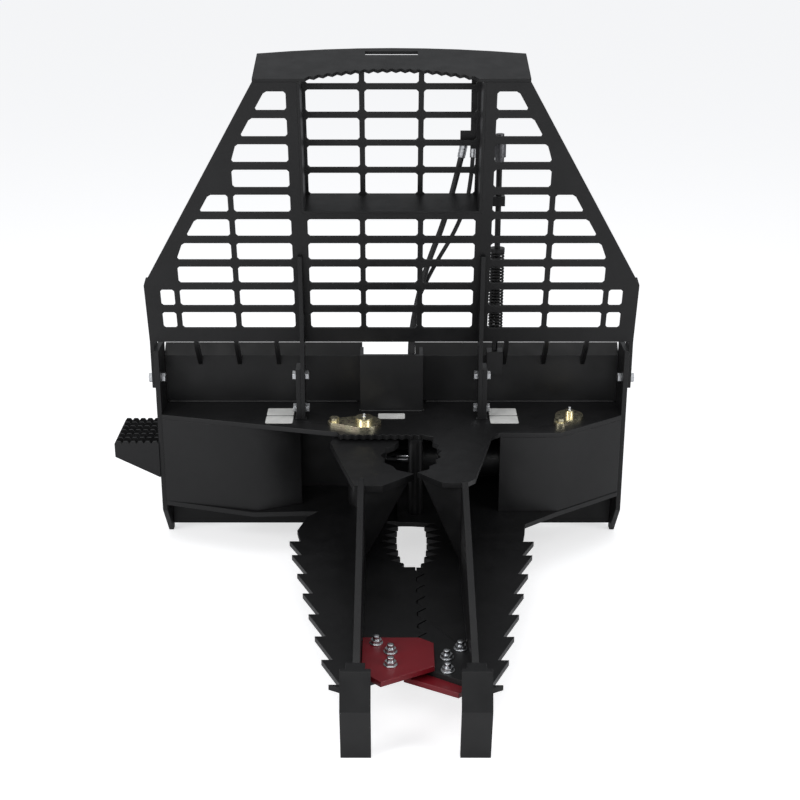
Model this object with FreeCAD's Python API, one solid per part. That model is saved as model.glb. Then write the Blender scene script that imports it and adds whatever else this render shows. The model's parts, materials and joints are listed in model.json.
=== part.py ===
import FreeCAD, Part
import math
import os

# Tree puller for a skid steer, in millimetres. A frame box with a quick-attach plate at the rear
# carries a fixed jaw (right) and a hinged jaw (left), a leaning mesh guard, a step and a hose holder.
# +X is right, +Y points back to the machine, +Z is up. Heights are written from the ground up,
# and every solid is lowered by ORIGIN_Z, so that the origin is the middle of the attach plate.

V = FreeCAD.Vector

# Frame box
HALF_W = 584.0
SIDE_T = 12.0
PLATE_T = 12.0
ATTACH_Z0 = 15.0
ATTACH_H = 464.0
ATTACH_T = 12.0
ORIGIN_Z = ATTACH_Z0 + ATTACH_H / 2
DECK_TOP = 355.0
FIXED_PLATE_TOP = 148.0
LEFT_BOTTOM_TOP = 121.0
INNER_W = HALF_W - SIDE_T
LIP_GAP = (-74.0, 60.0)
SLOT_PITCH = 830.0
SLOT_LENGTH = 92.0
SLOT_H = 27.0
LEDGE_Z = 45.0
LEDGE_DEPTH = 48.0

# Jaws: the split line, the swing of the moving jaw and its pin
SPLIT_X = 55.0
SPLIT_GAP = 2.0
JAW_AXIS_X = 47.3
PIVOT = (-67.0, -172.0)
PIVOT_R = 25.0
PIVOT_BOSS_R = 62.0
TUBE_R = 40.0
PIN_CLEAR = 0.05
JAW_RISE = 1.0
UPPER_JAW_TOP = 340.0
UPPER_JAW_T = 16.0
WASHER_GAP = 0.5

# Cylinder and its pins
BASE_PIN = (440.0, -125.0)
ROD_PIN = (-80.0, -77.0)
CYL_Z = 236.0
BASE_PIN_R = 15.0
ROD_PIN_R = 15.0
BARREL_R = 40.0
BARREL_BORE = 32.0
BARREL_END = 380.0
GLAND_L = 14.0
ROD_R = 18.0
EYE_R = 29.0
EYE_W = 34.0
BASE_EYE_W = 56.0
ARM_T = 14.0
ARM_GAP = 3.0
ARM_HOLE_R = ROD_PIN_R + 4.0

# Guard: a perforated sheet leaning forward from its lower edge
GUARD_Y = -84.8
GUARD_Z = 538.3
GUARD_LEAN = 14.25
GUARD_T = 6.0
GUARD_HALF = HALF_W + 10.5
GUARD_STRAIGHT = 160.0
GUARD_TOP = 674.0
GUARD_TOP_HALF = 307.0
ROW_FIRST = 40.0
ROW_PITCH = 63.0
ROW_H = 45.0
ROWS = 10
CENTRE_ROWS = 5
SIDE_COLUMNS = ((234.0, 365.4), (378.3, 509.7), (522.5, 560.0))
CENTRE_COLUMNS = ((-196.0, -74.0), (-61.5, 61.5), (74.0, 196.0))
EDGE_MARGIN = 38.0
CORNER = 5.0
WINDOW_HALF = 209.0
WINDOW_LOW = 352.0
WINDOW_DEPTH = 88.0
WINDOW_WALL = 6.0
PANE_PITCH = 69.0
PANE_OPEN = 55.0
PANE_ROWS = 5
VISOR_DEPTH = 150.0
VISOR_CROWN = 34.0
VISOR_T = 8.0
ARC_HALF = 191.0
ARC_DEPTH = 50.0
ARC_TEETH = 19

# Posts, tabs and gussets that hold the guard
POST_X = 217.0
POST_T = 10.0
POST_REACH = 243.0
POST_FRONT = -140.0
GUSSET_XS = (284.0, 383.0, 482.0)
BOLT_R = 8.0
HEAD_R = 12.0
HEAD_H = 9.0
BOLT_HOLE_R = BOLT_R + 0.5
FLANGE_BOLTS = ((-68.0, 440.0),)

# Fins, shoes and blades on the jaws
FIN_T = 14.0
FIN_X = 162.5
FIN_BACK = -300.0
FIN_STEP = -536.0
FIN_FRONT = -1024.0
FIN_FRONT_Z = 192.0
FIN_SLOPE = 19.1
FIXED_PLATE_FRONT = -533.0
MOVING_PLATE_FRONT = -513.0
SHOE_W = 60.0
SHOE_X = 164.6
NECK_W = 38.0
NECK_L = 22.0
BLADE_T = 12.0
BLADE_BOLTS = ((-31.0, -894.0), (-2.0, -929.0), (-2.0, -979.0))

# Barbs on the outer edges and teeth in the throat and along the split
BARB_FIRST = (-230.0, -471.0)
BARB_STEP = (17.83, -93.7)
BARBS = 7
BARB_OUT = 23.0
THROAT_ROOT = 70.0
THROAT_TIP = 35.0
THROAT_Y = (-300.0, -532.0)
THROAT_TEETH = 7
THROAT_MID = -385.0
THROAT_REACH = 158.0
SPLIT_Y = (-532.0, -849.0)
SPLIT_TEETH = 6
SPLIT_TOOTH = 18.0
V_BACK = -966.0

# Step on the left and hose holder behind the guard
STEP_X = (-HALF_W - 111.0, -HALF_W)
STEP_Y = (-106.0, 60.0)
STEP_TOP = 283.0
STEP_BAR_H = 30.0
MAST_XY = (258.0, -30.0)
MAST_FOOT = 500.0
SPRING_Z = (545.0, 752.0)
SPRING_R = 18.5
MAST_R = 7.0
HOSE_A_R = 7.0
HOSE_B_R = 5.0
PORT_H = 22.0


def prism(points, z0, z1):
    """Upright prism over an outline in X and Y."""
    loop = [V(x, y, z0) for x, y in points]
    return Part.Face(Part.makePolygon(loop + loop[:1])).extrude(V(0, 0, z1 - z0))


def profile(points, x0, x1):
    """Plate across X over an outline in Y and Z."""
    loop = [V(x0, y, z) for y, z in points]
    return Part.Face(Part.makePolygon(loop + loop[:1])).extrude(V(x1 - x0, 0, 0))


def block(x0, x1, y0, y1, z0, z1):
    """Box between six planes."""
    return Part.makeBox(x1 - x0, y1 - y0, z1 - z0, V(x0, y0, z0))


def post(xy, z0, z1, radius):
    """Upright cylinder."""
    return Part.makeCylinder(radius, z1 - z0, V(xy[0], xy[1], z0))


def ring(xy, z0, z1, outer, inner):
    """Upright tube."""
    return post(xy, z0, z1, outer).cut(post(xy, z0, z1, inner))


def bar(start, end, radius):
    """Cylinder between two points."""
    a, b = V(*start), V(*end)
    return Part.makeCylinder(radius, (b - a).Length, a, b - a)


def hexagon(centre, axis, radius, height):
    """Hexagonal head or nut that stands on a point along an axis."""
    corners = [V(radius * math.cos(k * math.pi / 3), radius * math.sin(k * math.pi / 3), 0)
               for k in range(7)]
    head = Part.Face(Part.makePolygon(corners)).extrude(V(0, 0, height))
    head.Placement = FreeCAD.Placement(V(*centre), FreeCAD.Rotation(V(0, 0, 1), V(*axis)))
    return head


def mirrored(points):
    """The outline on the other side of the jaws' middle line."""
    return [(2 * JAW_AXIS_X - x, y) for x, y in reversed(points)]


def joined(shapes):
    """One solid from pieces that touch or overlap."""
    whole = shapes[0].multiFuse(list(shapes[1:])) if len(shapes) > 1 else shapes[0]
    return whole.removeSplitter()


def save(name, *shapes):
    """Lower the node's solids to the part's frame and write them."""
    solids = [solid for shape in shapes for solid in shape.Solids]
    group = Part.makeCompound(solids)
    group.translate(V(0, 0, -ORIGIN_Z))
    group.exportStep("parts/" + name + ".step")


# Guard sheet geometry: s runs up the sheet and n stands out of its front

LEAN = math.radians(GUARD_LEAN)


def guard_yz(s, n):
    """Y and Z of a place on the guard."""
    return (GUARD_Y - s * math.sin(LEAN) - n * math.cos(LEAN),
            GUARD_Z + s * math.cos(LEAN) - n * math.sin(LEAN))


def guard_prism(points, n0, n1):
    """Prism over an outline drawn on the guard, between two depths."""
    loop = [V(x, s, n0) for x, s in points]
    solid = Part.Face(Part.makePolygon(loop + loop[:1])).extrude(V(0, 0, n1 - n0))
    solid.Placement = FreeCAD.Placement(V(0, GUARD_Y, GUARD_Z),
                                        FreeCAD.Rotation(V(1, 0, 0), 90 + GUARD_LEAN))
    return solid


def guard_half(s):
    """Half width of the guard at a height."""
    if s <= GUARD_STRAIGHT:
        return GUARD_HALF
    share = (s - GUARD_STRAIGHT) / (GUARD_TOP - GUARD_STRAIGHT)
    return GUARD_HALF + share * (GUARD_TOP_HALF - GUARD_HALF)


def opening(x0, x1_low, x1_high, s0, s1):
    """Outline of an opening with clipped corners; its outer edge may slant."""
    c = CORNER
    slant = (x1_high - x1_low) / (s1 - s0)
    return [(x0 + c, s0), (x1_low - c, s0), (x1_low + slant * c, s0 + c),
            (x1_high - slant * c, s1 - c), (x1_high - c, s1), (x0 + c, s1),
            (x0, s1 - c), (x0, s0 + c)]


def side_openings():
    """Openings of the right panel, cut short by the slanted edge."""
    outlines = []
    for row in range(ROWS):
        s0 = ROW_FIRST + ROW_PITCH * row
        s1 = s0 + ROW_H
        low = guard_half(s0) - EDGE_MARGIN
        high = guard_half(s1) - EDGE_MARGIN
        for x0, x1 in SIDE_COLUMNS:
            if min(x1, high) - x0 > 4 * CORNER:
                outlines.append(opening(x0, min(x1, low), min(x1, high), s0, s1))
    return outlines


def make_guard():
    """Panel with its rows of openings, the window and the bent flanges."""
    outline = [(-GUARD_HALF, 0), (GUARD_HALF, 0), (GUARD_HALF, GUARD_STRAIGHT),
               (GUARD_TOP_HALF, GUARD_TOP), (-GUARD_TOP_HALF, GUARD_TOP),
               (-GUARD_HALF, GUARD_STRAIGHT)]
    panel = guard_prism(outline, -GUARD_T, 0)
    holes = side_openings()
    holes += [[(-x, s) for x, s in reversed(hole)] for hole in side_openings()]
    for row in range(CENTRE_ROWS):
        s0 = ROW_FIRST + ROW_PITCH * row
        holes += [opening(a, b, b, s0, s0 + ROW_H) for a, b in CENTRE_COLUMNS]
    window = [(-WINDOW_HALF, WINDOW_LOW), (WINDOW_HALF, WINDOW_LOW),
              (WINDOW_HALF, GUARD_TOP + 1), (-WINDOW_HALF, GUARD_TOP + 1)]
    cutters = [guard_prism(hole, -GUARD_T - 1, 1) for hole in holes]
    cutters.append(guard_prism(window, -GUARD_T - 1, 1))
    panel = panel.cut(Part.makeCompound(cutters))
    low_y, low_z = guard_yz(0, -GUARD_T)
    flange_low = DECK_TOP + 63
    flange = [guard_yz(0, 0), guard_yz(GUARD_STRAIGHT, 0), guard_yz(GUARD_STRAIGHT, -40),
              (low_y + 45, low_z), (low_y + 45, flange_low), (GUARD_Y, flange_low)]
    flanges = [profile(flange, HALF_W, GUARD_HALF), profile(flange, -GUARD_HALF, -HALF_W)]
    holes = [bar((-GUARD_HALF - 1, y, z), (GUARD_HALF + 1, y, z), BOLT_HOLE_R) for y, z in FLANGE_BOLTS]
    return joined([panel] + [flange.cut(Part.makeCompound(holes)) for flange in flanges])


def make_window():
    """Walls of the recess and the pane at its back."""
    w, t = WINDOW_HALF, WINDOW_WALL
    back = -WINDOW_DEPTH
    outer = [(-w, WINDOW_LOW), (w, WINDOW_LOW), (w, GUARD_TOP), (-w, GUARD_TOP)]
    inner = [(-w + t, WINDOW_LOW + t), (w - t, WINDOW_LOW + t),
             (w - t, GUARD_TOP + 1), (-w + t, GUARD_TOP + 1)]
    walls = guard_prism(outer, back, 0).cut(guard_prism(inner, back - 1, 1))
    pane = guard_prism(outer, back - t, back)
    cutters = []
    for row in range(PANE_ROWS):
        s0 = WINDOW_LOW + t + PANE_PITCH * row
        s1 = min(s0 + PANE_OPEN, GUARD_TOP - t)
        cutters += [guard_prism(opening(a, b, b, s0, s1), back - t - 1, back + 1)
                    for a, b in CENTRE_COLUMNS]
    return walls, pane.cut(Part.makeCompound(cutters))


def make_visor():
    """Top plate with a toothed arc in front, a crowned rear edge and a hand slot."""
    front = [(GUARD_TOP_HALF, 0), (ARC_HALF, 0)]
    steps = 2 * ARC_TEETH
    tooth = ARC_DEPTH / 5
    for k in range(steps + 1):
        x = ARC_HALF * (1 - 2 * k / steps)
        depth = ARC_DEPTH * (1 - (x / ARC_HALF) ** 2)
        front.append((x, -depth - (tooth if k % 2 else 0) - 1))
    front += [(-ARC_HALF, 0), (-GUARD_TOP_HALF, 0)]
    rear = []
    for k in range(9):
        x = -GUARD_TOP_HALF + GUARD_TOP_HALF * k / 4
        rear.append((x, -VISOR_DEPTH - VISOR_CROWN * (1 - (x / GUARD_TOP_HALF) ** 2)))
    outline = [V(x, GUARD_TOP, n) for x, n in front + rear]
    plate = Part.Face(Part.makePolygon(outline + outline[:1])).extrude(V(0, VISOR_T, 0))
    slot = Part.makeBox(120, VISOR_T + 2, 22, V(-60, GUARD_TOP - 1, -VISOR_DEPTH - 14))
    plate = plate.cut(slot)
    plate.Placement = FreeCAD.Placement(V(0, GUARD_Y, GUARD_Z),
                                        FreeCAD.Rotation(V(1, 0, 0), 90 + GUARD_LEAN))
    return plate


# Jaw outlines

def outer_barbs():
    """Barbs of the left jaw, from the rear forward."""
    points = [(-214, -399), (-240, -399)]
    for k in range(BARBS):
        x = BARB_FIRST[0] + BARB_STEP[0] * k
        y = BARB_FIRST[1] + BARB_STEP[1] * k
        points += [(x + BARB_OUT, y), (x, y)]
    return points


def neck_points():
    """Front end of the left jaw's plate, where the shoe's neck starts."""
    mid = 2 * JAW_AXIS_X - SHOE_X
    return [(mid - SHOE_W / 2, FIN_FRONT - NECK_L), (mid + NECK_W / 2, FIN_FRONT - NECK_L),
            (mid + NECK_W / 2, FIN_FRONT)]


def throat_share(y):
    """How wide the throat is at a place, as a share of its full width: an ellipse."""
    return math.sqrt(max(0.1, 1 - ((y - THROAT_MID) / THROAT_REACH) ** 2))


def throat_left():
    """Left side of the throat with its teeth, from the front back."""
    pitch = (THROAT_Y[0] - THROAT_Y[1]) / THROAT_TEETH
    points = []
    for k in range(THROAT_TEETH):
        y = THROAT_Y[1] + pitch * k
        for place, half in ((y, THROAT_ROOT), (y + 0.4 * pitch, THROAT_TIP), (y + 0.6 * pitch, THROAT_TIP)):
            points.append((JAW_AXIS_X - half * throat_share(place), place))
    return points + [(JAW_AXIS_X - THROAT_ROOT * throat_share(THROAT_Y[0]), THROAT_Y[0])]


def split_edge(gap):
    """Wavy split line, moved sideways by a gap, from the front back."""
    y0, y1 = SPLIT_Y[1], SPLIT_Y[0]
    pitch = (y1 - y0) / SPLIT_TEETH
    points = [(SPLIT_X + gap, V_BACK), (SPLIT_X + gap, y0)]
    for k in range(SPLIT_TEETH):
        points.append((SPLIT_X + gap + SPLIT_TOOTH, y0 + pitch * (k + 0.35)))
        points.append((SPLIT_X + gap, y0 + pitch * (k + 0.7)))
        points.append((SPLIT_X + gap, y0 + pitch * (k + 1)))
    return points


def arc_points(centre, radius, start, end, count):
    """Places on a round corner, by angle in degrees."""
    turns = [math.radians(start + (end - start) * k / count) for k in range(count + 1)]
    return [(centre[0] + radius * math.cos(a), centre[1] + radius * math.sin(a)) for a in turns]


def moving_lower_outline():
    """Outline of the moving jaw's lower plate."""
    boss = arc_points(PIVOT, PIVOT_BOSS_R, 0, 180, 12)
    return (boss + [(-205, -262), (-225, -340)] + outer_barbs() + neck_points()
            + split_edge(-SPLIT_GAP / 2) + throat_left())


def fixed_lower_outline():
    """Outline of the fixed jaw's lower plate, with the box's right bottom in one piece."""
    edge = [(15, -ATTACH_T), (15, THROAT_Y[0] + 8), (JAW_AXIS_X, THROAT_Y[0] + 8)]
    throat = mirrored(throat_left())
    front = list(reversed(split_edge(SPLIT_GAP / 2)))
    barbs = mirrored(neck_points()) + mirrored(outer_barbs())
    rear = [(318, -340), (322, -304), (407, -233), (INNER_W, -112), (INNER_W, -ATTACH_T)]
    return edge + throat + front + barbs + rear


def upper_throat():
    """Opening edge of the fixed upper jaw, from the front apex back."""
    points = [(58, -470)]
    for k in range(1, 12):
        y = -470 + 18 * k
        bulge = 1 - ((y + 350) / 125) ** 2
        points.append((60 + 48 * bulge + (9 if k % 2 else 0), y))
    return points + [(100, -252)]


def deck_outline():
    """Deck with the scalloped front and the fixed jaw's upper plate."""
    scallops = []
    count = 11
    for k in range(count + 1):
        x = -124 + 206 * k / count
        scallops.append((x, -246))
        if k < count:
            scallops.append((x + 206 / count / 2, -238))
    right = [(187, -507), (240, -250), (260, -229), (408, -229), (INNER_W, -110), (INNER_W, -ATTACH_T)]
    front = [(58, -470), (112, -528), (165, -532)]
    return ([(-INNER_W, -ATTACH_T), (-INNER_W, -106), (-131, -225)] + scallops
            + list(reversed(upper_throat()))[:-1] + front + right)


def moving_upper_outline():
    """Outline of the moving jaw's upper plate."""
    boss = arc_points(PIVOT, PIVOT_BOSS_R, 10, 180, 12)
    inner = [(52, -443)]
    for k in range(1, 10):
        y = -443 + 22 * k
        bulge = 1 - ((y + 336) / 107) ** 2
        inner.append((43 - 60 * bulge - (9 if k % 2 else 0), y))
    return boss + [(-147, -254), (-84, -512), (-20, -512)] + inner + [(10, -232)]


def fin_top(y):
    """Height of a fin's sloping edge."""
    return FIN_FRONT_Z + (y - FIN_FRONT) * math.tan(math.radians(FIN_SLOPE))


def make_fin(x_mid, low, under_plate, plate_front):
    """Upright fin of a jaw: level under the upper plate, then sloping to the shoe."""
    outline = [(FIN_BACK, low), (FIN_BACK, under_plate), (plate_front, under_plate),
               (plate_front, fin_top(FIN_STEP)), (FIN_STEP, fin_top(FIN_STEP)),
               (FIN_FRONT, FIN_FRONT_Z), (FIN_FRONT, low)]
    return profile(outline, x_mid - FIN_T / 2, x_mid + FIN_T / 2)


def make_shoe(x_mid, low):
    """Bent ground shoe with its neck and rib."""
    face = [(-1046, 192), (-1058, 192), (-1090, 122), (-1060, 0), (-1046, 0), (-1077, 122)]
    rib = [(-1024, low), (-1024, 192), (-1046, 192), (-1077, 122), (-1048, 6), (-1046, low)]
    plate = profile(face, x_mid - SHOE_W / 2, x_mid + SHOE_W / 2)
    neck = profile(rib, x_mid - NECK_W / 2, x_mid + NECK_W / 2)
    return joined([plate, neck])


def bolt_group(places, under, top, grip_r=BOLT_R):
    """Upright bolts with a nut above and a head below the plates."""
    solids = []
    for x, y in places:
        shank = post((x, y), under, top, grip_r)
        nut = hexagon((x, y, top), (0, 0, 1), HEAD_R, HEAD_H)
        flange = post((x, y), top, top + 2, HEAD_R + 2)
        head = hexagon((x, y, under), (0, 0, -1), HEAD_R, HEAD_H)
        solids.append(joined([shank, nut, flange, head]))
    return solids


def drilled(shape, places, z0, z1, radius):
    """Upright holes through a plate."""
    return shape.cut(Part.makeCompound([post(place, z0 - 1, z1 + 1, radius) for place in places]))


def route(points, radius):
    """Hose along straight runs and tangent arcs; prints its arc radii and length."""
    spots = [V(*point) for point in points]
    edges = []
    radii = []
    start = spots[0]
    for before, corner, after in zip(spots, spots[1:], spots[2:]):
        back = (before - corner).normalize()
        ahead = (after - corner).normalize()
        reach = 0.45 * min((before - corner).Length, (after - corner).Length)
        half_turn = (math.pi - back.getAngle(ahead)) / 2
        radii.append(reach / math.tan(half_turn))
        entry = corner + back * reach
        leave = corner + ahead * reach
        middle = (entry + leave) * 0.5
        inward = (middle - corner).normalize()
        centre_far = radii[-1] / math.cos(half_turn)
        on_arc = corner + inward * (centre_far - radii[-1])
        edges.append(Part.LineSegment(start, entry).toShape())
        edges.append(Part.Arc(entry, on_arc, leave).toShape())
        start = leave
    edges.append(Part.LineSegment(start, spots[-1]).toShape())
    path = Part.Wire(edges)
    circle = Part.Wire(Part.makeCircle(radius, spots[0], spots[1] - spots[0]))
    tube = path.makePipeShell([circle], True, False)
    whole = math.pi * radius ** 2 * path.Length
    print("hose radii", [round(r) for r in radii], "length", round(path.Length),
          "volume share", round(tube.Volume / whole, 4))
    return tube


# Frame box

def cross_bolt(x0, x1, y, z):
    """Bolt along X with a flange head at one end and a nut at the other."""
    return joined([bar((x0, y, z), (x1, y, z), BOLT_R),
                   hexagon((x1, y, z), (1, 0, 0), HEAD_R, HEAD_H),
                   hexagon((x0, y, z), (-1, 0, 0), HEAD_R, HEAD_H)])


def both_sides(make):
    """A shape on the right and its mirror image on the left."""
    shape = make()
    return [shape, shape.mirror(V(0, 0, 0), V(1, 0, 0))]


def web_plate(start, end, z0, z1, thick):
    """Triangular upright web: full height at its start, a point under the plate at its end."""
    a0, a1 = V(start[0], start[1], z0), V(start[0], start[1], z1)
    b1 = V(end[0], end[1], z1)
    along = (b1 - a1).normalize()
    across = V(0, 0, 1).cross(along) * thick
    return Part.Face(Part.makePolygon([a0, a1, b1, a0])).extrude(across)


def flag_plate(pin, lug, big_r, small_r):
    """Teardrop plate that keeps a pin from turning."""
    ways = V(lug[0] - pin[0], lug[1] - pin[1], 0)
    length = ways.Length
    turn = math.degrees(math.atan2(ways.y, ways.x))
    spread = math.degrees(math.acos((big_r - small_r) / length))
    outline = arc_points(pin, big_r, turn + spread, turn + 360 - spread, 20)
    outline += arc_points(lug, small_r, turn - spread, turn + spread, 8)
    return prism(outline, DECK_TOP, DECK_TOP + FLAG_T)


FLAG_T = 8.0
PIVOT_LUG = (-140.0, -168.0)
BASE_LUG = (413.0, -173.0)
PIN_HEAD_H = 20.0
DECK_LOW = DECK_TOP - PLATE_T
FIXED_LOW = FIXED_PLATE_TOP - PLATE_T
LEFT_LOW = LEFT_BOTTOM_TOP - PLATE_T
MOVING_LOW = FIXED_LOW + JAW_RISE
MOVING_TOP = MOVING_LOW + PLATE_T
UPPER_JAW_LOW = UPPER_JAW_TOP - UPPER_JAW_T
ATTACH_TOP = ATTACH_Z0 + ATTACH_H
HOSE_HOLE = (36.0, 70.0, -58.0, -16.0)
BEAM_HALF = 78.0
BEAM_Y = -80.0
BEAM_TOP = 502.0
BEAM_WALL = 8.0
PANEL_T = 8.0
POST_BOLTS = ((-112.0, 376.0), (-112.0, 461.0))
TAB_T = 12.0
TAB_TOP = 485.0
POST_IN = POST_X - POST_T / 2
POST_OUT = POST_X + POST_T / 2
BACK_STOP = (58.0, -234.0)
BACK_STOP_R = 18.0


def attach_plate():
    """Quick-attach plate with its bent top lip and two lock slots in a ledge at its foot."""
    plate = block(-INNER_W, INNER_W, -ATTACH_T, 0, ATTACH_Z0, ATTACH_TOP)
    lip = [(-ATTACH_T, ATTACH_TOP), (18, ATTACH_TOP + 26), (26, ATTACH_TOP + 18), (0, ATTACH_TOP)]
    pieces = [plate, profile(lip, -INNER_W, LIP_GAP[0]), profile(lip, LIP_GAP[1], INNER_W)]
    ledge_top = LEDGE_Z + PLATE_T
    pieces.append(block(-INNER_W, INNER_W, 0, LEDGE_DEPTH, LEDGE_Z, ledge_top))
    slot_r = SLOT_H / 2
    straight = SLOT_LENGTH / 2 - slot_r
    y = LEDGE_DEPTH / 2
    cutters = []
    for side in (-1, 1):
        x = side * SLOT_PITCH / 2
        cutters.append(block(x - straight, x + straight, y - slot_r, y + slot_r, LEDGE_Z - 1, ledge_top + 1))
        for end in (x - straight, x + straight):
            cutters.append(post((end, y), LEDGE_Z - 1, ledge_top + 1, slot_r))
    return joined(pieces).cut(joined(cutters))


def side_plate():
    """Right side plate, down to its foot."""
    top = ATTACH_TOP + 41
    plate = profile([(0, 0), (-22, 0), (-102, 93), (-102, top), (0, top)], INNER_W, HALF_W)
    holes = [bar((INNER_W - 1, y, z), (HALF_W + 1, y, z), BOLT_HOLE_R) for y, z in FLANGE_BOLTS]
    return plate.cut(Part.makeCompound(holes))


def deck_plate():
    """Deck in one piece with the fixed jaw's upper plate."""
    deck = prism(deck_outline(), DECK_LOW, DECK_TOP)
    hole = block(HOSE_HOLE[0], HOSE_HOLE[1], HOSE_HOLE[2], HOSE_HOLE[3], DECK_LOW - 1, DECK_TOP + 1)
    deck = deck.cut(hole)
    deck = drilled(deck, [PIVOT], DECK_LOW, DECK_TOP, PIVOT_R + PIN_CLEAR)
    deck = drilled(deck, [BASE_PIN], DECK_LOW, DECK_TOP, BASE_PIN_R + PIN_CLEAR)
    return drilled(deck, [PIVOT_LUG, BASE_LUG], DECK_LOW, DECK_TOP, BOLT_HOLE_R)


def build_frame():
    """Frame box, its pins and the posts that hold the guard."""
    save("attach_plate", attach_plate())
    right, left = both_sides(side_plate)
    save("side_plate_right", right)
    save("side_plate_left", left)
    save("deck_plate", deck_plate())

    arc = arc_points(PIVOT, PIVOT_BOSS_R, 180, 290, 8)
    bottom = [(-INNER_W, -ATTACH_T), (-INNER_W, -106), (-343, -179), (-223, -172)] + arc
    bottom += [(15, -230), (60, -230), (60, -ATTACH_T)]
    plate = prism(bottom, LEFT_LOW, LEFT_BOTTOM_TOP)
    save("bottom_plate_left", drilled(plate, [PIVOT], LEFT_LOW, LEFT_BOTTOM_TOP, PIVOT_R + PIN_CLEAR))
    save("bottom_spacer", block(15, 60, -230, -ATTACH_T, LEFT_BOTTOM_TOP, FIXED_LOW))

    t = PANEL_T
    save("front_panel_right", prism([(INNER_W, -110 + t), (INNER_W, -110), (408, -229), (262, -229),
                                     (262, -229 + t), (405, -229 + t)], FIXED_PLATE_TOP, DECK_LOW))
    save("front_panel_left", prism([(-INNER_W, -106 + t), (-INNER_W, -106), (-335, -169), (-226, -124),
                                    (-226, -124 + t), (-335, -169 + t)], LEFT_BOTTOM_TOP, DECK_LOW))

    beam = block(-BEAM_HALF, BEAM_HALF, BEAM_Y, -ATTACH_T, DECK_TOP, BEAM_TOP)
    inside = block(-BEAM_HALF + BEAM_WALL, BEAM_HALF - BEAM_WALL, BEAM_Y + BEAM_WALL, 0,
                   DECK_TOP - 1, BEAM_TOP + 1)
    save("centre_beam", beam.cut(inside))
    save("throat_stop", post(BACK_STOP, FIXED_PLATE_TOP, DECK_LOW, BACK_STOP_R))

    foot_y = GUARD_Y - 2
    shape = [guard_yz(0, 0), guard_yz(POST_REACH, 0), guard_yz(POST_REACH, 10), guard_yz(0, 48),
             (POST_FRONT, 480), (POST_FRONT, DECK_TOP), (foot_y, DECK_TOP)]
    holes = Part.makeCompound([bar((200, y, z), (240, y, z), BOLT_HOLE_R) for y, z in POST_BOLTS])
    posts = both_sides(lambda: profile(shape, POST_IN, POST_OUT).cut(holes))
    save("guard_post_right", posts[0])
    save("guard_post_left", posts[1])
    tabs = both_sides(lambda: block(POST_OUT, POST_OUT + TAB_T, POST_FRONT, foot_y,
                                    DECK_TOP, TAB_TOP).cut(holes))
    save("post_tabs", *tabs)
    gusset = [(-ATTACH_T, ATTACH_TOP - 24), (-ATTACH_T, ATTACH_TOP), guard_yz(20, -GUARD_T),
              guard_yz(0, -GUARD_T), (-70, ATTACH_TOP + 36)]
    save("guard_gussets", *[profile(gusset, side * x - 5, side * x + 5)
                            for x in GUSSET_XS for side in (-1, 1)])
    bolts = []
    for y, z in POST_BOLTS:
        bolts += both_sides(lambda: cross_bolt(POST_IN, POST_OUT + TAB_T, y, z))
    for y, z in FLANGE_BOLTS:
        bolts += both_sides(lambda: cross_bolt(INNER_W, GUARD_HALF, y, z))
    save("guard_bolts", *bolts)

    flags = {"pivot_pin": (PIVOT, PIVOT_LUG, PIVOT_R, 42.0, LEFT_LOW),
             "cylinder_base_pin": (BASE_PIN, BASE_LUG, BASE_PIN_R, 34.0, FIXED_LOW)}
    for name, (pin, lug, radius, plate_r, low) in flags.items():
        plate = flag_plate(pin, lug, plate_r, 16.0)
        plate = drilled(plate, [lug], DECK_TOP, DECK_TOP + FLAG_T, BOLT_HOLE_R)
        head = post(pin, DECK_TOP + FLAG_T, DECK_TOP + PIN_HEAD_H, radius - 4)
        save(name, joined([post(pin, low, DECK_TOP + FLAG_T, radius), plate, head]))
    save("flag_bolts", *[joined([post(lug, DECK_LOW, DECK_TOP + FLAG_T, BOLT_R),
                                 hexagon((lug[0], lug[1], DECK_TOP + FLAG_T), (0, 0, 1), HEAD_R, HEAD_H)])
                         for lug in (PIVOT_LUG, BASE_LUG)])
    washers = [ring(PIVOT, LEFT_BOTTOM_TOP, MOVING_LOW - WASHER_GAP, 45, PIVOT_R + PIN_CLEAR),
               ring(PIVOT, UPPER_JAW_TOP + WASHER_GAP, DECK_LOW, 45, PIVOT_R + PIN_CLEAR)]
    save("pivot_washers", *washers)
    low, high = CYL_Z - BASE_EYE_W / 2 - WASHER_GAP, CYL_Z + BASE_EYE_W / 2 + WASHER_GAP
    spacers = [ring(BASE_PIN, FIXED_PLATE_TOP, low, 24, BASE_PIN_R + PIN_CLEAR),
               ring(BASE_PIN, high, DECK_LOW, 24, BASE_PIN_R + PIN_CLEAR)]
    save("base_pin_spacers", *spacers)


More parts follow.
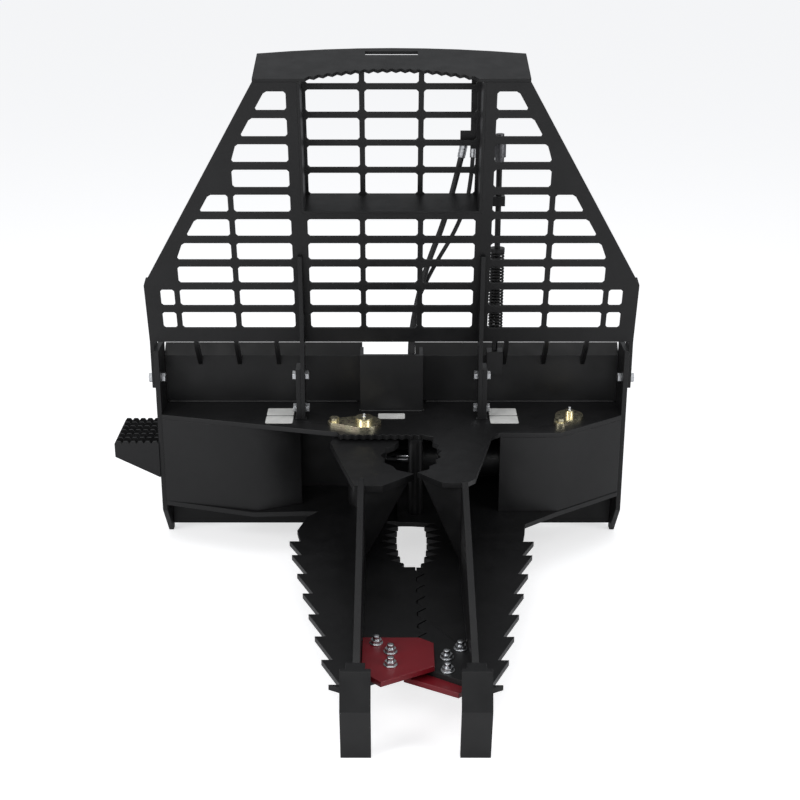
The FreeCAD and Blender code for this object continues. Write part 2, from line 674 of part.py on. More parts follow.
def build_fixed_jaw():
    """Lower plate, fin, shoe, web and blade of the fixed jaw."""
    plate = prism(fixed_lower_outline(), FIXED_LOW, FIXED_PLATE_TOP)
    plate = drilled(plate, [BASE_PIN], FIXED_LOW, FIXED_PLATE_TOP, BASE_PIN_R + PIN_CLEAR)
    bolts = [(2 * BLADE_MIRROR - x, y) for x, y in BLADE_BOLTS]
    plate = drilled(plate, bolts, FIXED_LOW, FIXED_PLATE_TOP, BOLT_HOLE_R)
    save("fixed_jaw_lower_plate", plate)
    fin = make_fin(FIN_X, FIXED_PLATE_TOP, DECK_LOW, FIXED_PLATE_FRONT)
    save("fixed_jaw_fin", fin.copy())
    save("fixed_jaw_shoe", make_shoe(SHOE_X, FIXED_PLATE_TOP))
    inner = FIN_X - FIN_T / 2
    web = web_plate((inner + 4, -526), (68, -478), FIXED_PLATE_TOP, DECK_LOW, -10)
    save("fixed_jaw_web", web.cut(fin))
    blade = prism([(2 * BLADE_MIRROR - x, y) for x, y in BLADE], FIXED_LOW - BLADE_T, FIXED_LOW)
    save("fixed_blade", drilled(blade, bolts, FIXED_LOW - BLADE_T, FIXED_LOW, BOLT_HOLE_R))
    save("fixed_blade_bolts", *bolt_group(bolts, FIXED_LOW - BLADE_T, FIXED_PLATE_TOP))


BLADE = [(-59, -872), (56, -872), (85, -894), (85, -984), (-21, -1044), (-44, -1020), (-59, -1005)]
BLADE_MIRROR = 54.5


def build_moving_jaw():
    """Hinged jaw with its pivot tube and the arm that the rod pulls."""
    plate = prism(moving_lower_outline(), MOVING_LOW, MOVING_TOP)
    plate = drilled(plate, [PIVOT], MOVING_LOW, MOVING_TOP, PIVOT_R + PIN_CLEAR)
    plate = drilled(plate, BLADE_BOLTS, MOVING_LOW, MOVING_TOP, BOLT_HOLE_R)
    save("moving_jaw_lower_plate", plate)
    upper = prism(moving_upper_outline(), UPPER_JAW_LOW, UPPER_JAW_TOP)
    save("moving_jaw_upper_plate",
         drilled(upper, [PIVOT], UPPER_JAW_LOW, UPPER_JAW_TOP, PIVOT_R + PIN_CLEAR))
    x_mid = 2 * JAW_AXIS_X - FIN_X
    fin = make_fin(x_mid, MOVING_TOP, UPPER_JAW_LOW, MOVING_PLATE_FRONT)
    save("moving_jaw_fin", fin.copy())
    save("moving_jaw_shoe", make_shoe(2 * JAW_AXIS_X - SHOE_X, MOVING_TOP))
    web = web_plate((x_mid + FIN_T / 2 - 4, -504), (38, -456), MOVING_TOP, UPPER_JAW_LOW, 10)
    save("moving_jaw_web", web.cut(fin))
    save("jaw_pivot_tube", ring(PIVOT, MOVING_TOP, UPPER_JAW_LOW, TUBE_R, PIVOT_R + PIN_CLEAR))
    blade = prism(BLADE, MOVING_TOP, MOVING_TOP + BLADE_T)
    save("moving_blade", drilled(blade, BLADE_BOLTS, MOVING_TOP, MOVING_TOP + BLADE_T, BOLT_HOLE_R))
    save("moving_blade_bolts", *bolt_group(BLADE_BOLTS, MOVING_LOW, MOVING_TOP + BLADE_T))
    arms = []
    outline = arc_points(ROD_PIN, 30, 0, 180, 12) + [(PIVOT[0] - 36, PIVOT[1]), (PIVOT[0] + 36, PIVOT[1])]
    for side in (-1, 1):
        near = CYL_Z + side * (EYE_W / 2 + ARM_GAP)
        far = near + side * ARM_T
        arm = prism(outline, min(near, far), max(near, far))
        arm = arm.cut(post(PIVOT, near - 2 * ARM_T, near + 2 * ARM_T, TUBE_R))
        arms.append(drilled(arm, [ROD_PIN], near - ARM_T, near + ARM_T, ARM_HOLE_R))
    save("moving_jaw_arm", *arms)


def build_cylinder():
    """Hydraulic cylinder: barrel on the base pin, rod on the jaw's arm."""
    base = V(BASE_PIN[0], BASE_PIN[1], CYL_Z)
    eye = V(ROD_PIN[0], ROD_PIN[1], CYL_Z)
    stroke_way = (eye - base).normalize()
    length = (eye - base).Length

    def along(distance):
        return base + stroke_way * distance

    def tube(near, far, radius):
        return Part.makeCylinder(radius, far - near, along(near), stroke_way)

    cap_at, bore_from = 42.0, 62.0
    half = BASE_EYE_W / 2
    base_eye = joined([post(BASE_PIN, CYL_Z - half, CYL_Z + half, EYE_R), tube(20, cap_at, 26)])
    save("cylinder_base_eye", drilled(base_eye, [BASE_PIN], CYL_Z - half, CYL_Z + half,
                                      BASE_PIN_R + PIN_CLEAR))
    barrel = tube(cap_at, BARREL_END, BARREL_R).cut(tube(bore_from, BARREL_END + 1, BARREL_BORE))
    save("cylinder_barrel", barrel)
    gland = joined([tube(BARREL_END - 18, BARREL_END, BARREL_BORE),
                    tube(BARREL_END, BARREL_END + GLAND_L, BARREL_R)])
    save("cylinder_gland", gland.cut(tube(BARREL_END - 20, BARREL_END + 20, ROD_R + PIN_CLEAR)))
    ports = []
    for distance in (PORT_A_AT, PORT_B_AT):
        side = along(distance)
        out = V(side.x, side.y + BARREL_R + PORT_OUT, CYL_Z)
        elbow = post((out.x, out.y), CYL_Z - PORT_R, CYL_Z + PORT_H, PORT_R)
        stub = block(side.x - 5, side.x + 5, side.y, out.y, CYL_Z - 5, CYL_Z + 5)
        ports.append(joined([elbow, stub]).cut(tube(bore_from, BARREL_END + 1, BARREL_R)))
    save("cylinder_ports", *ports)

    piston_at = 330.0
    save("cylinder_piston", tube(piston_at, piston_at + 26, BARREL_BORE - PIN_CLEAR))
    eye_low, eye_high = CYL_Z - EYE_W / 2, CYL_Z + EYE_W / 2
    rod = tube(piston_at + 26, length - 10, ROD_R).cut(post(ROD_PIN, eye_low - 5, eye_high + 5, EYE_R))
    save("cylinder_rod", rod)
    save("rod_eye", ring(ROD_PIN, eye_low, eye_high, EYE_R, ROD_PIN_R))
    reach = EYE_W / 2 + ARM_GAP + ARM_T + 4
    collars = [post(ROD_PIN, CYL_Z + reach, CYL_Z + reach + 5, 23),
               post(ROD_PIN, CYL_Z - reach - 5, CYL_Z - reach, 23)]
    save("rod_pin", joined([post(ROD_PIN, CYL_Z - reach - 5, CYL_Z + reach + 5, ROD_PIN_R)] + collars))


PORT_A_AT = 366.0
PORT_B_AT = 346.0
PORT_OUT = 12.0
PORT_R = 8.0


def build_guard():
    """Mesh guard with its window and visor."""
    save("guard_panel", make_guard())
    walls, pane = make_window()
    save("guard_window_box", walls)
    save("guard_window_pane", pane)
    save("guard_visor", make_visor())


def build_step():
    """Folding-free step on the left: serrated tread bars on two brackets."""
    x0, x1 = STEP_X
    y0, y1 = STEP_Y
    low = STEP_TOP - STEP_BAR_H
    wall = 5.0
    tray = block(x0, x1, y0, y1, low, STEP_TOP - 6)
    tray = tray.cut(block(x0 + wall, x1 - wall, y0 + wall, y1 - wall, low - 1, STEP_TOP))
    bars = [tray]
    count = 6
    pitch = (y1 - y0 - wall) / count
    teeth = 6
    step = (x1 - x0) / teeth
    for k in range(count + 1):
        y = y0 + pitch * k
        crest = [(x0, low), (x1, low)]
        for j in range(teeth):
            right = x1 - step * j
            crest += [(right, STEP_TOP - 6), (right - step * 0.25, STEP_TOP),
                      (right - step * 0.75, STEP_TOP)]
        crest.append((x0, STEP_TOP - 6))
        loop = [V(x, y, z) for x, z in crest]
        bars.append(Part.Face(Part.makePolygon(loop + loop[:1])).extrude(V(0, wall, 0)))
    save("step_tread", joined(bars))
    gusset = [(x0, low), (x1, low), (x1, 185), (x0, STEP_TOP - 42)]
    plates = []
    for y in (y0, -26.0):
        loop = [V(x, y, z) for x, z in gusset]
        plates.append(Part.Face(Part.makePolygon(loop + loop[:1])).extrude(V(0, 8, 0)))
    save("step_brackets", *plates)


def build_hoses():
    """Hose holder on a spring foot, the hoses and their fittings."""
    x, y = MAST_XY
    save("mast_bracket", block(x - 20, x + 20, y - 18, -ATTACH_T, MAST_FOOT - 60, MAST_FOOT))
    save("mast_foot", joined([post(MAST_XY, MAST_FOOT, SPRING_Z[0], MAST_R),
                              post(MAST_XY, SPRING_Z[0] - 12, SPRING_Z[0], SPRING_R)]))
    save("mast_spring", ring(MAST_XY, SPRING_Z[0], SPRING_Z[1], SPRING_R, SPRING_R - 5))
    save("mast_rod", joined([post(MAST_XY, SPRING_Z[1], 960, MAST_R),
                             post(MAST_XY, SPRING_Z[1], SPRING_Z[1] + 10, SPRING_R)]))
    clamp = block(x - 15, x + 15, y - 15, y + 15, 868, 892)
    save("mast_clamp", clamp.cut(post(MAST_XY, 860, 900, MAST_R)))
    save("parked_coupler", joined([post(MAST_XY, 960, 985, 11), post(MAST_XY, 985, 1030, 15),
                                   post(MAST_XY, 1030, 1040, 10)]))
    save("hose_bar", block(160, 200, -106, -100, 1030, 1060).fuse(
        block(184, 200, -106, -100, 1018, 1227.5)).removeSplitter())
    fittings = [joined([block(HOSE_A[-1][0] - 9, HOSE_A[-1][0] + 9, -100, -80, 1034, 1056),
                        post(HOSE_A[-1][:2], 1030, 1034, 8)]),
                joined([block(HOSE_B[-1][0] - 8, HOSE_B[-1][0] + 8, -100, -80, 1034, 1056),
                        post(HOSE_B[-1][:2], 1030, 1034, 7)])]
    save("hose_fittings", *fittings)
    save("hose_left", route(HOSE_A, HOSE_A_R))
    save("hose_right", route(HOSE_B, HOSE_B_R))


HOSE_A = [(75.5, -39.4, 258.6), (72, -41, 305), (57, -44, 370), (53, -46, 445), (51, -45, 530),
          (60, -46, 620), (88, -50, 728), (122, -55, 820), (140, -60, 885), (157, -74, 960),
          (170, -91, 1027.6)]
HOSE_B = [(95.5, -41.2, 260.4), (88, -32, 288), (66, -25, 322), (54, -24, 362), (47, -25, 425),
          (45, -26, 520),
          (58, -26, 615), (100, -32, 710), (150, -46, 800), (181, -60, 880), (190, -78, 962),
          (192, -91, 1028.7)]


build_frame()
build_fixed_jaw()
build_moving_jaw()
build_cylinder()
build_guard()
build_step()
build_hoses()
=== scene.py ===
import json
import math

import bmesh
import bpy
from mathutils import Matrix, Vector


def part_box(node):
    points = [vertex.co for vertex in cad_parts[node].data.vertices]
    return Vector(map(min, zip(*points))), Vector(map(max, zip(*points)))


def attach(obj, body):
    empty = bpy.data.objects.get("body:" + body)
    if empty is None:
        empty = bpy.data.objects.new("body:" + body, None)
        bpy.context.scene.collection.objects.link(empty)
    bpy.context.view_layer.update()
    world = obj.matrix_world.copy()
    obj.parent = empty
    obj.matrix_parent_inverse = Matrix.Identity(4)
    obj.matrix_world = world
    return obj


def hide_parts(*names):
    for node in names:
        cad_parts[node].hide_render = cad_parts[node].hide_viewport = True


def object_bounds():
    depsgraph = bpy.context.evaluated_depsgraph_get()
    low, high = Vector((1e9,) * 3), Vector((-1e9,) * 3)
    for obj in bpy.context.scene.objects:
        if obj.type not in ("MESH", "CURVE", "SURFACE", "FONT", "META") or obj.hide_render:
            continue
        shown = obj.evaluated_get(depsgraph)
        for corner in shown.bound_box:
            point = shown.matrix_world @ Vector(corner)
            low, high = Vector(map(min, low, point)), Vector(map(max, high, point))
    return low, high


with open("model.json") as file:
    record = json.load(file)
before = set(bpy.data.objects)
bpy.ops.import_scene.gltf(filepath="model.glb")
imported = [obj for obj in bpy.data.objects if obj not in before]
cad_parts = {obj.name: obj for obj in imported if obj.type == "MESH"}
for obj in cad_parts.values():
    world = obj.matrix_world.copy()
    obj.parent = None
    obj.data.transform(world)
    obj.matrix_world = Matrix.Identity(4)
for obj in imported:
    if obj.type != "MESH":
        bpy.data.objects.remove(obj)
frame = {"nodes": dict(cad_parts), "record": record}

cad_low, cad_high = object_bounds()
nodes = frame["nodes"]
scene = bpy.context.scene
GROUND = -0.247


def up(x, y, z):
    """A place in the part's frame from ground coordinates in millimetres."""
    return (x / 1000, y / 1000, z / 1000 + GROUND)


# Camera, fitted to the photograph

CAMERA_AT = (0.0, -3.4782, 1.6415 + GROUND)
CAMERA_TILT = math.radians(90 - 20.3)
CAMERA_LENS = 65.25
CAMERA_SHIFT_X = 0.0106
SENSOR_WIDTH = 36.0
CLIP_END = 100.0


def make_camera():
    """The photograph's view."""
    data = bpy.data.cameras.new("camera")
    data.sensor_width = SENSOR_WIDTH
    data.lens = CAMERA_LENS
    data.shift_x = CAMERA_SHIFT_X
    data.clip_end = CLIP_END
    camera = bpy.data.objects.new("camera", data)
    camera.location = CAMERA_AT
    camera.rotation_euler = (CAMERA_TILT, 0, 0)
    scene.collection.objects.link(camera)
    scene.camera = camera


# Materials

def new_material(name):
    """A material with its node tree and its shader."""
    material = bpy.data.materials.new(name)
    material.use_nodes = True
    tree = material.node_tree
    shader = tree.nodes["Principled BSDF"]
    return material, tree, shader


def noise(tree, scale, detail=4.0, rough=0.5):
    """Noise in object space, in waves per metre."""
    place = tree.nodes.new("ShaderNodeTexCoord")
    node = tree.nodes.new("ShaderNodeTexNoise")
    node.inputs["Scale"].default_value = scale
    node.inputs["Detail"].default_value = detail
    node.inputs["Roughness"].default_value = rough
    tree.links.new(place.outputs["Object"], node.inputs["Vector"])
    return node.outputs["Fac"]


def ramp(tree, source, stops):
    """Colour ramp through the given (place, colour) stops."""
    node = tree.nodes.new("ShaderNodeValToRGB")
    band = node.color_ramp
    band.elements[0].position, band.elements[0].color = stops[0][0], (*stops[0][1], 1)
    band.elements[1].position, band.elements[1].color = stops[-1][0], (*stops[-1][1], 1)
    for place, colour in stops[1:-1]:
        band.elements.new(place).color = (*colour, 1)
    tree.links.new(source, node.inputs["Fac"])
    return node.outputs["Color"]


def span(tree, source, low, high, out_low, out_high):
    """Linear remap of a value."""
    node = tree.nodes.new("ShaderNodeMapRange")
    for key, value in zip(("From Min", "From Max", "To Min", "To Max"), (low, high, out_low, out_high)):
        node.inputs[key].default_value = value
    tree.links.new(source, node.inputs["Value"])
    return node.outputs["Result"]


def bump(tree, shader, source, strength, depth):
    """Fine relief on a shader, in metres."""
    node = tree.nodes.new("ShaderNodeBump")
    node.inputs["Strength"].default_value = strength
    node.inputs["Distance"].default_value = depth
    tree.links.new(source, node.inputs["Height"])
    tree.links.new(node.outputs["Normal"], shader.inputs["Normal"])


COAT_GRAIN = 1400.0
COAT_RELIEF = 0.0002
COAT_GLOSS = 0.36


def powder_coat(name, dark, light, rough=(0.36, 0.5)):
    """Satin powder coat: fine orange peel and faint mottling."""
    material, tree, shader = new_material(name)
    mottling = noise(tree, 7.0, 5.0, 0.6)
    tree.links.new(ramp(tree, mottling, [(0.3, dark), (0.7, light)]), shader.inputs["Base Color"])
    tree.links.new(span(tree, noise(tree, 24.0), 0.3, 0.7, *rough), shader.inputs["Roughness"])
    shader.inputs["Specular IOR Level"].default_value = COAT_GLOSS
    bump(tree, shader, noise(tree, COAT_GRAIN, 2.0), 0.25, COAT_RELIEF)
    return material


def metal(name, colours, rough, grain=300.0, strength=0.15):
    """Bare or plated metal with patchy colour and fine lines."""
    material, tree, shader = new_material(name)
    shader.inputs["Metallic"].default_value = 1.0
    tree.links.new(ramp(tree, noise(tree, 35.0, 4.0, 0.6), colours), shader.inputs["Base Color"])
    tree.links.new(span(tree, noise(tree, 90.0), 0.3, 0.7, *rough), shader.inputs["Roughness"])
    bump(tree, shader, noise(tree, grain, 3.0), strength, 0.0002)
    return material


def hose_rubber():
    """Matte wrapped rubber with a fine spiral cloth mark."""
    material, tree, shader = new_material("hose_rubber")
    colours = [(0.3, (0.008, 0.008, 0.009)), (0.7, (0.02, 0.02, 0.021))]
    tree.links.new(ramp(tree, noise(tree, 50.0), colours), shader.inputs["Base Color"])
    tree.links.new(span(tree, noise(tree, 200.0), 0.3, 0.7, 0.5, 0.7), shader.inputs["Roughness"])
    bump(tree, shader, noise(tree, 900.0, 3.0), 0.4, 0.0004)
    return material


def patch_paper():
    """Plain pale plastic film."""
    material, tree, shader = new_material("blank_patch")
    colours = [(0.3, (0.62, 0.62, 0.6)), (0.7, (0.74, 0.74, 0.72))]
    tree.links.new(ramp(tree, noise(tree, 40.0), colours), shader.inputs["Base Color"])
    tree.links.new(span(tree, noise(tree, 120.0), 0.3, 0.7, 0.35, 0.5), shader.inputs["Roughness"])
    bump(tree, shader, noise(tree, 600.0), 0.1, 0.0001)
    return material


BLACK = ((0.0035, 0.0035, 0.0038), (0.006, 0.006, 0.0064))
RED = ((0.11, 0.004, 0.008), (0.15, 0.006, 0.011))
STEEL = [(0.3, (0.1, 0.1, 0.105)), (0.7, (0.17, 0.17, 0.18))]
YELLOW_ZINC = [(0.25, (0.76, 0.72, 0.54)), (0.5, (0.8, 0.74, 0.52)), (0.62, (0.72, 0.62, 0.46)),
               (0.8, (0.68, 0.68, 0.54))]
BRIGHT_ZINC = [(0.3, (0.48, 0.49, 0.51)), (0.7, (0.6, 0.61, 0.62))]
CHROME = [(0.3, (0.8, 0.8, 0.82)), (0.7, (0.88, 0.88, 0.9))]
MATERIALS = {
    "black_powder_coat": powder_coat("black_powder_coat", *BLACK),
    "dark_steel": metal("dark_steel", STEEL, (0.35, 0.5)),
    "red_blade": powder_coat("red_blade", *RED, (0.28, 0.4)),
    "yellow_zinc": metal("yellow_zinc", YELLOW_ZINC, (0.22, 0.36)),
    "bright_zinc": metal("bright_zinc", BRIGHT_ZINC, (0.24, 0.36)),
    "hose_rubber": hose_rubber(),
    "chrome_rod": metal("chrome_rod", CHROME, (0.06, 0.12), 500.0, 0.04),
}
PATCH = patch_paper()

MERGE_REACH = 0.00002
PLATE_EDGE = 0.0009
BOLT_EDGE = 0.0005
EDGE_ANGLE = math.radians(38)
UNSOFTENED = ("hose_left", "hose_right", "mast_spring", "step_tread")


def dress_nodes():
    """Each CAD node gets its slot's material and softened edges."""
    slots = {entry["node"]: entry["material_slot"] for entry in frame["record"]["subparts"]}
    for name, node in nodes.items():
        node.data.materials.clear()
        node.data.materials.append(MATERIALS[slots[name]])
        if name in UNSOFTENED:
            continue
        weld = node.modifiers.new("weld", "WELD")
        weld.merge_threshold = MERGE_REACH
        soften = node.modifiers.new("soften", "BEVEL")
        soften.width = BOLT_EDGE if slots[name] in ("bright_zinc", "yellow_zinc") else PLATE_EDGE
        soften.segments = 2
        soften.limit_method = "ANGLE"
        soften.angle_limit = EDGE_ANGLE
        soften.use_clamp_overlap = True
        normals = node.modifiers.new("normals", "WEIGHTED_NORMAL")
        normals.keep_sharp = False


# Pieces that only this file makes

def mesh_piece(name, body, slot, build, material=None, smooth=True):
    """Object from a mesh builder, riding on a body."""
    mesh = bpy.data.meshes.new(name)
    bm = bmesh.new()
    build(bm)
    bmesh.ops.recalc_face_normals(bm, faces=bm.faces)
    bm.to_mesh(mesh)
    bm.free()
    for polygon in mesh.polygons:
        polygon.use_smooth = smooth
    mesh.materials.append(material or MATERIALS[slot])
    piece = bpy.data.objects.new(name, mesh)
    scene.collection.objects.link(piece)
    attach(piece, body)
    return piece


def sweep(bm, path, radii, sides):
    """Closed tube along places with a radius at each."""
    rings = []
    skyward = Vector((0, 0, 1))
    for k, place in enumerate(path):
        ahead = path[min(k + 1, len(path) - 1)] - path[max(k - 1, 0)]
        ahead.normalize()
        side = ahead.cross(skyward if abs(ahead.z) < 0.9 else Vector((1, 0, 0))).normalized()
        top = side.cross(ahead).normalized()
        row = []
        for j in range(sides):
            a = 2 * math.pi * j / sides
            row.append(bm.verts.new(place + radii[k] * (math.cos(a) * side + math.sin(a) * top)))
        rings.append(row)
    for low, high in zip(rings, rings[1:]):
        for j in range(sides):
            bm.faces.new((low[j], low[(j + 1) % sides], high[(j + 1) % sides], high[j]))
    bm.faces.new(list(reversed(rings[0])))
    bm.faces.new(rings[-1])


# Weld beads; their places are in ground millimetres

WELD_R = 0.0035
WELD_STEP = 0.0032
WELD_SIDES = 8
FIN_FEET = {"moving_jaw": (-67.9, 149), "root": (162.5, 148)}
FIN_BEAD_OUT = 7.6
FIN_BEAD_BACK = -310
FIN_BEAD_BLADE = -868
FIN_BEAD_FRONT = -1015
DECK_BEAD_Z = 356
POST_BEAD_XS = (211.4, 234.6)
POST_BEAD_YS = (-138, -90)
BEAM_SIDE_X = 78.6
BEAM_SIDE_YS = (-79, -14)
BEAM_FRONT_XS = (-77, 77)
BEAM_FRONT_Y = -80.6
DECK_BACK_XS = (84, 570)
DECK_BACK_Y = -12.6


def weld_bead(name, body, start, end):
    """Rippled weld bead along a straight joint, sunk into its corner."""
    a, b = Vector(start), Vector(end)
    count = max(4, int((b - a).length / WELD_STEP))

    def build(bm):
        path = [a + (b - a) * (k / count) for k in range(count + 1)]
        radii = [WELD_R * (0.9 + 0.16 * (k % 2) + 0.05 * math.sin(k * 0.7)) for k in range(count + 1)]
        radii[0] = radii[-1] = WELD_R * 0.5
        sweep(bm, path, radii, WELD_SIDES)
    mesh_piece(name, body, "black_powder_coat", build)


def deck_bead(name, start, end):
    """Bead on the deck between two places in X and Y."""
    weld_bead(name, "root", up(*start, DECK_BEAD_Z), up(*end, DECK_BEAD_Z))


def make_welds():
    """Beads along the feet of fins, posts, tabs and the centre beam."""
    for body, (x, z) in FIN_FEET.items():
        for side in (-1, 1):
            tag = "right" if side > 0 else "left"
            spot = x + side * FIN_BEAD_OUT
            front = FIN_BEAD_BLADE if side * x < 0 else FIN_BEAD_FRONT
            weld_bead(f"fin_weld_{body}_{tag}", body, up(spot, FIN_BEAD_BACK, z + 1), up(spot, front, z + 1))
    for side in (-1, 1):
        tag = "right" if side > 0 else "left"
        for x in POST_BEAD_XS:
            deck_bead(f"post_weld_{tag}_{int(x)}", (side * x, POST_BEAD_YS[0]), (side * x, POST_BEAD_YS[1]))
        deck_bead(f"beam_side_weld_{tag}", (side * BEAM_SIDE_X, BEAM_SIDE_YS[0]),
                  (side * BEAM_SIDE_X, BEAM_SIDE_YS[1]))
    deck_bead("beam_front_weld", (BEAM_FRONT_XS[0], BEAM_FRONT_Y), (BEAM_FRONT_XS[1], BEAM_FRONT_Y))
    deck_bead("deck_back_weld_left", (-DECK_BACK_XS[1], DECK_BACK_Y), (-DECK_BACK_XS[0], DECK_BACK_Y))
    deck_bead("deck_back_weld_right", (DECK_BACK_XS[0], DECK_BACK_Y), (DECK_BACK_XS[1], DECK_BACK_Y))


THREAD_PITCH = 0.0018
STUB_R = 0.0072
STUB_H = 0.009
SINK = 0.0005
BLADE_BOLTS = {"moving_blade_bolts": ("moving_jaw", [(-31, -894), (-2, -929), (-2, -979)]),
               "fixed_blade_bolts": ("root", [(140, -894), (111, -929), (111, -979)])}


def thread_stub(bm, place, radius, height):
    """End of a bolt: threads and a chamfered tip."""
    count = int(height / THREAD_PITCH * 2)
    path = [Vector(place) + Vector((0, 0, height * k / count)) for k in range(count + 1)]
    radii = [radius * (1.0 if k % 2 else 0.9) for k in range(count + 1)]
    radii[-1] = radius * 0.75
    sweep(bm, path, radii, 14)


def make_thread_stubs():
    """Bolt ends that stand out of the blade nuts."""
    for node, (body, places) in BLADE_BOLTS.items():
        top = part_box(node)[1].z

        def build(bm, places=places, top=top):
            for x, y in places:
                thread_stub(bm, (x / 1000, y / 1000, top - SINK), STUB_R, STUB_H)
        mesh_piece(node.replace("bolts", "bolt_ends"), body, "bright_zinc", build)


WIRE_R = 0.0029
WIRE_SIDES = 8
SPRING_TURNS = 26
TURN_STEPS = 20


def make_spring():
    """Wound spring of the hose holder in place of its plain tube."""
    low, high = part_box("mast_spring")
    centre = (low + high) / 2
    radius = (high.x - low.x) / 2 - WIRE_R
    steps = SPRING_TURNS * TURN_STEPS

    def build(bm):
        path = []
        for k in range(steps + 1):
            a = 2 * math.pi * k / TURN_STEPS
            z = low.z + WIRE_R + (high.z - low.z - 2 * WIRE_R) * k / steps
            path.append(Vector((centre.x + radius * math.cos(a), centre.y + radius * math.sin(a), z)))
        sweep(bm, path, [WIRE_R] * len(path), WIRE_SIDES)
    piece = mesh_piece("mast_spring_coil", "root", "black_powder_coat", build)
    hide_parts("mast_spring")


FERRULE_Y = -0.091
FERRULE_RINGS = 12
FERRULES = {"left": (0.170, 0.0095, Vector((0.006, -0.008, 0.034))),
            "right": (0.192, 0.0075, Vector((0.001, -0.006, 0.034)))}


def make_hose_ends():
    """Crimped ferrules where the hoses meet their fittings."""
    for name, (x, radius, aim) in FERRULES.items():
        end = Vector((x, FERRULE_Y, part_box("hose_" + name)[1].z - SINK))

        def build(bm, radius=radius, end=end, aim=aim):
            path = [end - aim * (1 - k / FERRULE_RINGS) for k in range(FERRULE_RINGS + 1)]
            radii = [radius * (0.93 if k % 3 == 1 else 1.0) for k in range(FERRULE_RINGS + 1)]
            sweep(bm, path, radii, 16)
        mesh_piece("hose_ferrule_" + name, "root", "bright_zinc", build)


DECK_PINS = {"pivot_pin": (-67, -172), "cylinder_base_pin": (440, -125)}
NIPPLE = ((-0.001, 0.0045), (0.003, 0.0045), (0.003, 0.003), (0.005, 0.0025), (0.006, 0.0035),
          (0.008, 0.0035), (0.009, 0.0015))
RING_APART = 0.00001


def make_grease_fittings():
    """Small grease nipples on top of the two deck pins."""
    for node, (x, y) in DECK_PINS.items():
        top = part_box(node)[1].z

        def build(bm, x=x, y=y, top=top):
            heights, radii = zip(*NIPPLE)
            path = [Vector((x / 1000, y / 1000, top + h + RING_APART * k)) for k, h in enumerate(heights)]
            sweep(bm, path, radii, 14)
        mesh_piece(node + "_grease_fitting", "root", "bright_zinc", build)


DECK_TOP = 355.0
PATCH_CORNER = 4.0
PATCH_T = 0.0004
PATCHES = {"patch_left": (-310, -243, -166, -116), "patch_left_rear": (-310, -243, -111, -62),
           "patch_right": (243, 312, -166, -116), "patch_right_rear": (243, 312, -111, -62),
           "patch_middle": (-33, 33, -134, -98)}


def make_patches():
    """Plain blank film patches on the deck; they carry nothing."""
    for name, (x0, x1, y0, y1) in PATCHES.items():
        def build(bm, x0=x0, x1=x1, y0=y0, y1=y1):
            r = PATCH_CORNER
            low = []
            for cx, cy, start in ((x1 - r, y1 - r, 0), (x0 + r, y1 - r, 90), (x0 + r, y0 + r, 180),
                                  (x1 - r, y0 + r, 270)):
                for k in range(5):
                    a = math.radians(start + 22.5 * k)
                    low.append(bm.verts.new(up(cx + r * math.cos(a), cy + r * math.sin(a), DECK_TOP)))
            face = bm.faces.new(low)
            raised = bmesh.ops.extrude_face_region(bm, geom=[face])
            tops = [v for v in raised["geom"] if isinstance(v, bmesh.types.BMVert)]
            bmesh.ops.translate(bm, verts=tops, vec=(0, 0, PATCH_T))
        mesh_piece(name, "root", "bright_zinc", build, PATCH, smooth=False)


# Stage and light

FLOOR_HALF = 30
FLOOR_COLOUR = (0.8, 0.8, 0.81, 1)
FLOOR_LIFT = 0.56
WORLD_LIGHT = 0.45
WORLD_TINT = (0.95, 0.97, 1.0, 1)
WHITE = (1, 1, 1, 1)
LIGHTS = {"key_above": ((0.0, -0.6, 3.4), (0, -0.4, 0), (3.2, 2.4), 28),
          "left_front": ((-2.6, -2.6, 1.6), (0, -0.3, 0.2), (1.6, 1.8), 64),
          "right_front": ((2.8, -2.2, 1.2), (0, -0.3, 0.1), (1.4, 1.6), 46),
          "front_high": ((0.0, -3.9, 2.7), (0, -1.0, 0.0), (2.2, 0.7), 24)}


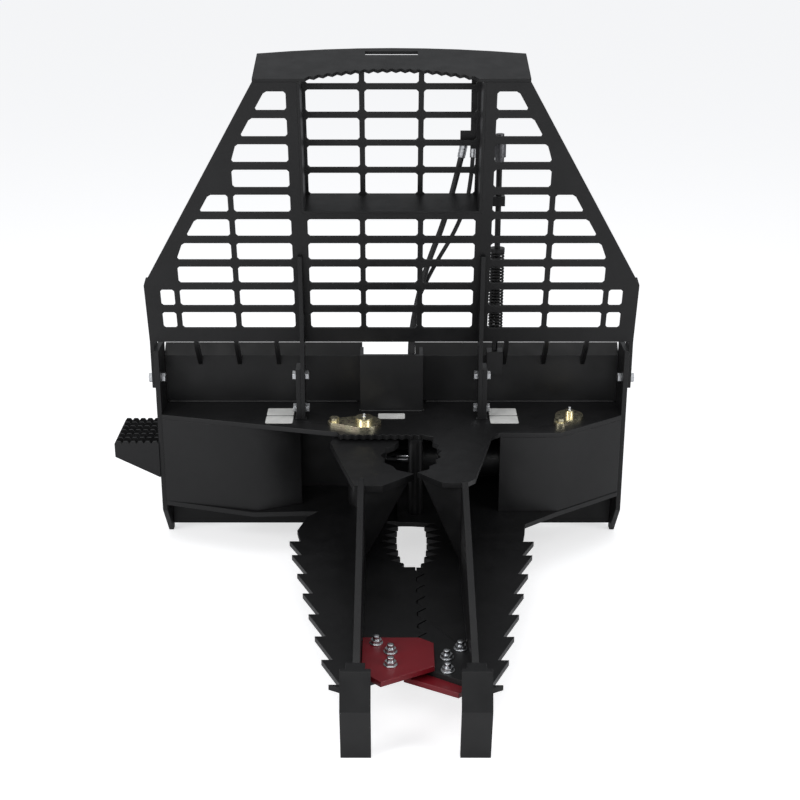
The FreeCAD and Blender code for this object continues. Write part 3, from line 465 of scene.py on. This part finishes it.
def make_stage():
    """White floor that keeps the object's soft shadow."""
    bm = bmesh.new()
    bmesh.ops.create_grid(bm, x_segments=1, y_segments=1, size=FLOOR_HALF)
    mesh = bpy.data.meshes.new("floor")
    bm.to_mesh(mesh)
    bm.free()
    floor = bpy.data.objects.new("floor", mesh)
    floor.location = (0, 0, cad_low.z)
    scene.collection.objects.link(floor)
    material, tree, shader = new_material("floor")
    shader.inputs["Base Color"].default_value = FLOOR_COLOUR
    shader.inputs["Roughness"].default_value = 0.9
    shader.inputs["Specular IOR Level"].default_value = 0.0
    path = tree.nodes.new("ShaderNodeLightPath")
    lift = tree.nodes.new("ShaderNodeMath")
    lift.operation = "MULTIPLY"
    tree.links.new(path.outputs["Is Camera Ray"], lift.inputs[0])
    lift.inputs[1].default_value = FLOOR_LIFT
    shader.inputs["Emission Color"].default_value = WHITE
    tree.links.new(lift.outputs["Value"], shader.inputs["Emission Strength"])
    mesh.materials.append(material)


def make_world():
    """White for what the camera sees, soft grey for what lights the object."""
    world = bpy.data.worlds.new("world")
    scene.world = world
    world.use_nodes = True
    tree = world.node_tree
    tree.nodes.clear()
    out = tree.nodes.new("ShaderNodeOutputWorld")
    seen = tree.nodes.new("ShaderNodeBackground")
    lit = tree.nodes.new("ShaderNodeBackground")
    seen.inputs["Strength"].default_value = 1.0
    seen.inputs["Color"].default_value = WHITE
    lit.inputs["Color"].default_value = WORLD_TINT
    lit.inputs["Strength"].default_value = WORLD_LIGHT
    path = tree.nodes.new("ShaderNodeLightPath")
    add = tree.nodes.new("ShaderNodeMath")
    add.operation = "ADD"
    add.use_clamp = True
    tree.links.new(path.outputs["Is Camera Ray"], add.inputs[0])
    tree.links.new(path.outputs["Is Transmission Ray"], add.inputs[1])
    mix = tree.nodes.new("ShaderNodeMixShader")
    tree.links.new(add.outputs["Value"], mix.inputs["Fac"])
    tree.links.new(lit.outputs["Background"], mix.inputs[1])
    tree.links.new(seen.outputs["Background"], mix.inputs[2])
    tree.links.new(mix.outputs["Shader"], out.inputs["Surface"])


def area_light(name, place, aim, size, power):
    """Rectangular lamp that faces a place."""
    data = bpy.data.lights.new(name, "AREA")
    data.shape = "RECTANGLE"
    data.size, data.size_y = size
    data.energy = power
    lamp = bpy.data.objects.new(name, data)
    lamp.location = place
    lamp.rotation_euler = (Vector(aim) - Vector(place)).to_track_quat("-Z", "Y").to_euler()
    scene.collection.objects.link(lamp)


make_camera()
dress_nodes()
make_welds()
make_thread_stubs()
make_spring()
make_hose_ends()
make_grease_fittings()
make_patches()
make_stage()
make_world()
for lamp_name, lamp_values in LIGHTS.items():
    area_light(lamp_name, *lamp_values)
scene.view_settings.view_transform = "Standard"
